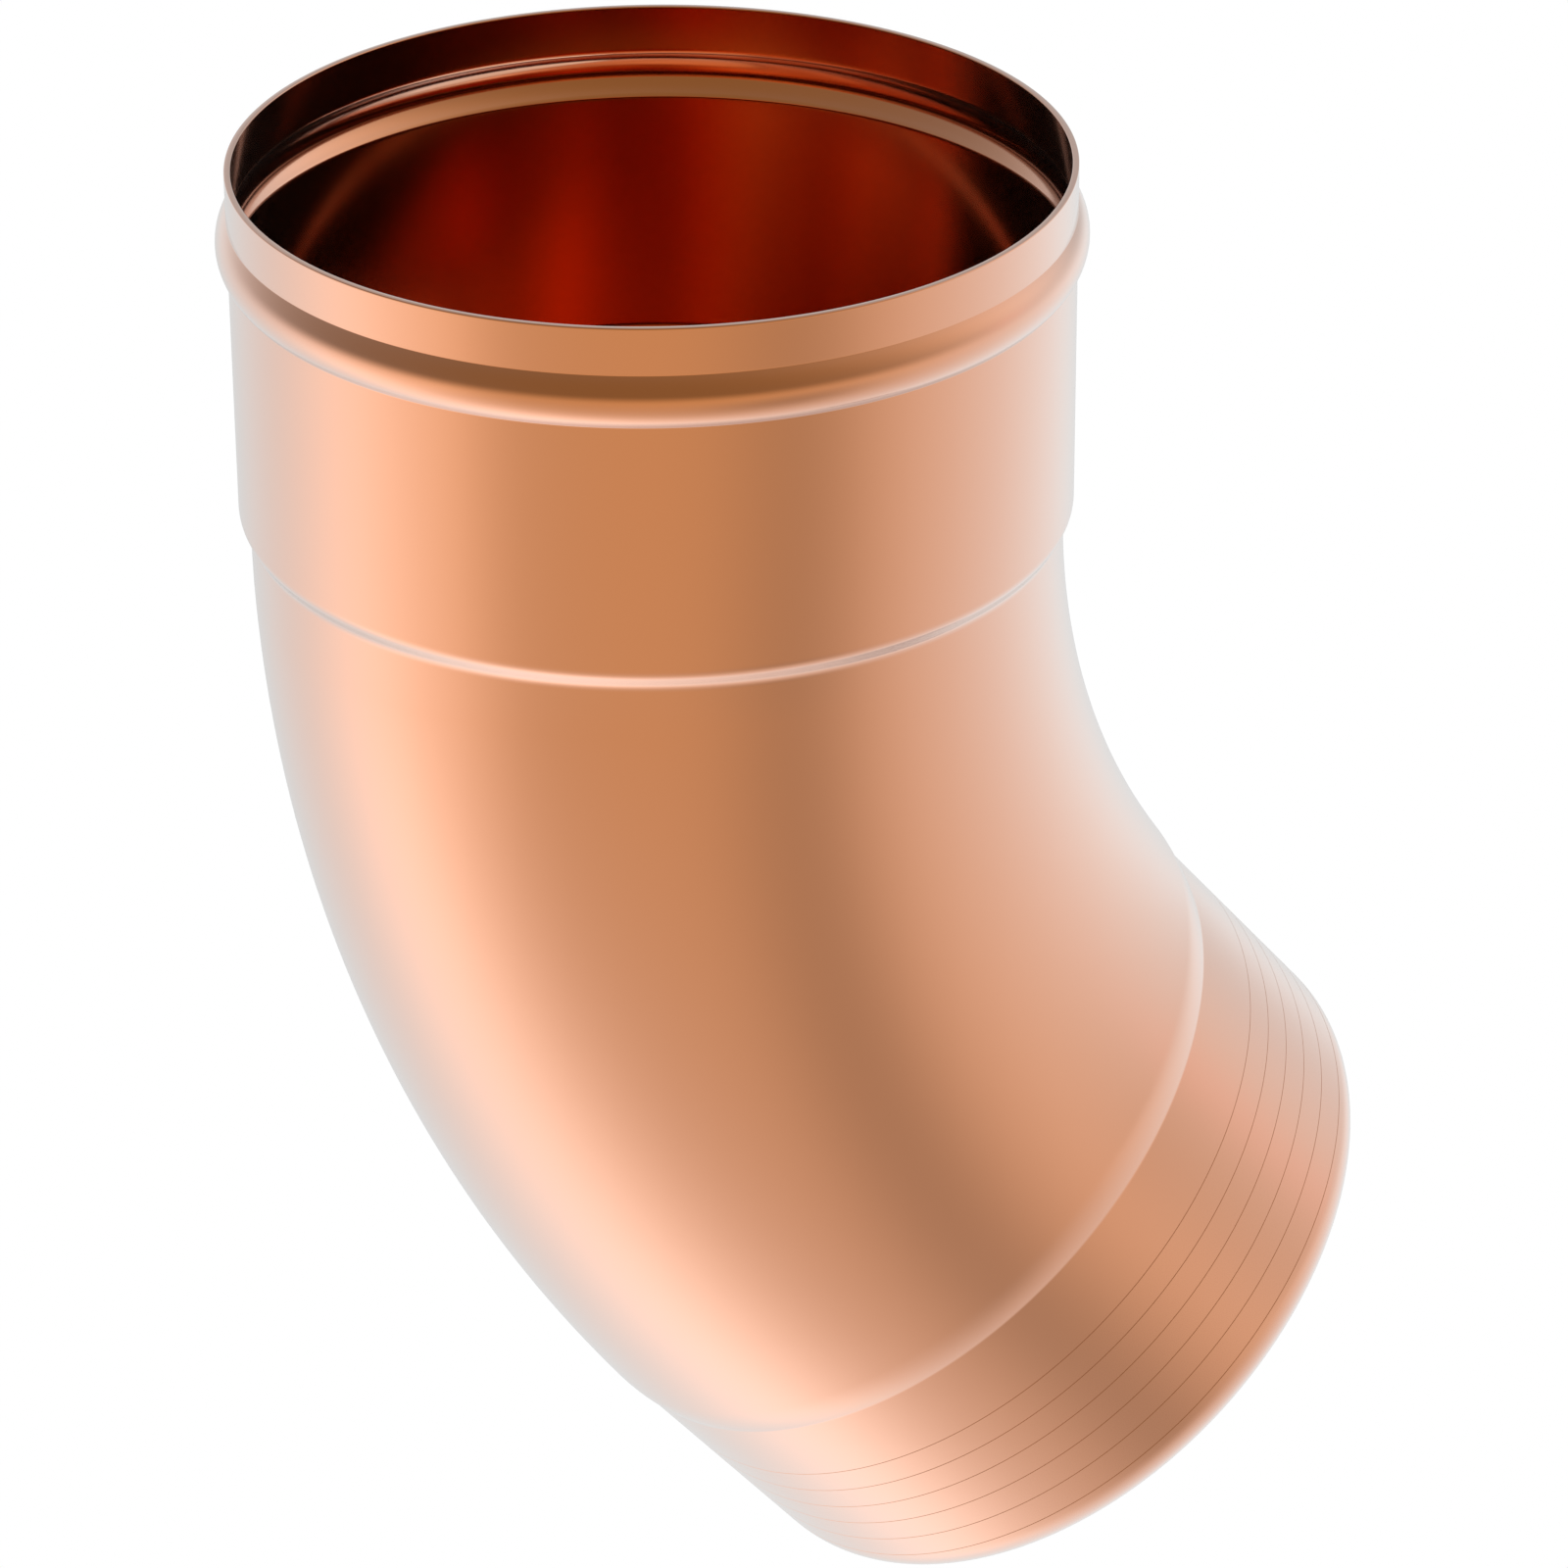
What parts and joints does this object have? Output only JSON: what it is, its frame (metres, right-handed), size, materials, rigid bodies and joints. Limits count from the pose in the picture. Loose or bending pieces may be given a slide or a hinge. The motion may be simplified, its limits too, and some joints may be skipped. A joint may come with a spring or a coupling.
{
  "type": "downspout elbow",
  "caption": "Bent round fitting for a copper rain pipe: a beaded socket, a swept bend and a narrower ringed spigot with a drawn-in edge that slides into the pipe below.",
  "frame": {"origin": "centre of the socket's mouth, where the pipe from above goes in", "axes": "+Z along the socket, out of its mouth; the bend lies in the XZ plane and leads the water down and towards +X; the part is the same on both sides of that plane"},
  "size_m": [0.1428, 0.1046, 0.1951],
  "materials": {
    "copper_sheet": "satin bare copper sheet, smooth, with no patina"
  },
  "bodies": {
    "root": {"elbow": "copper_sheet"}
  },
  "joints": []
}
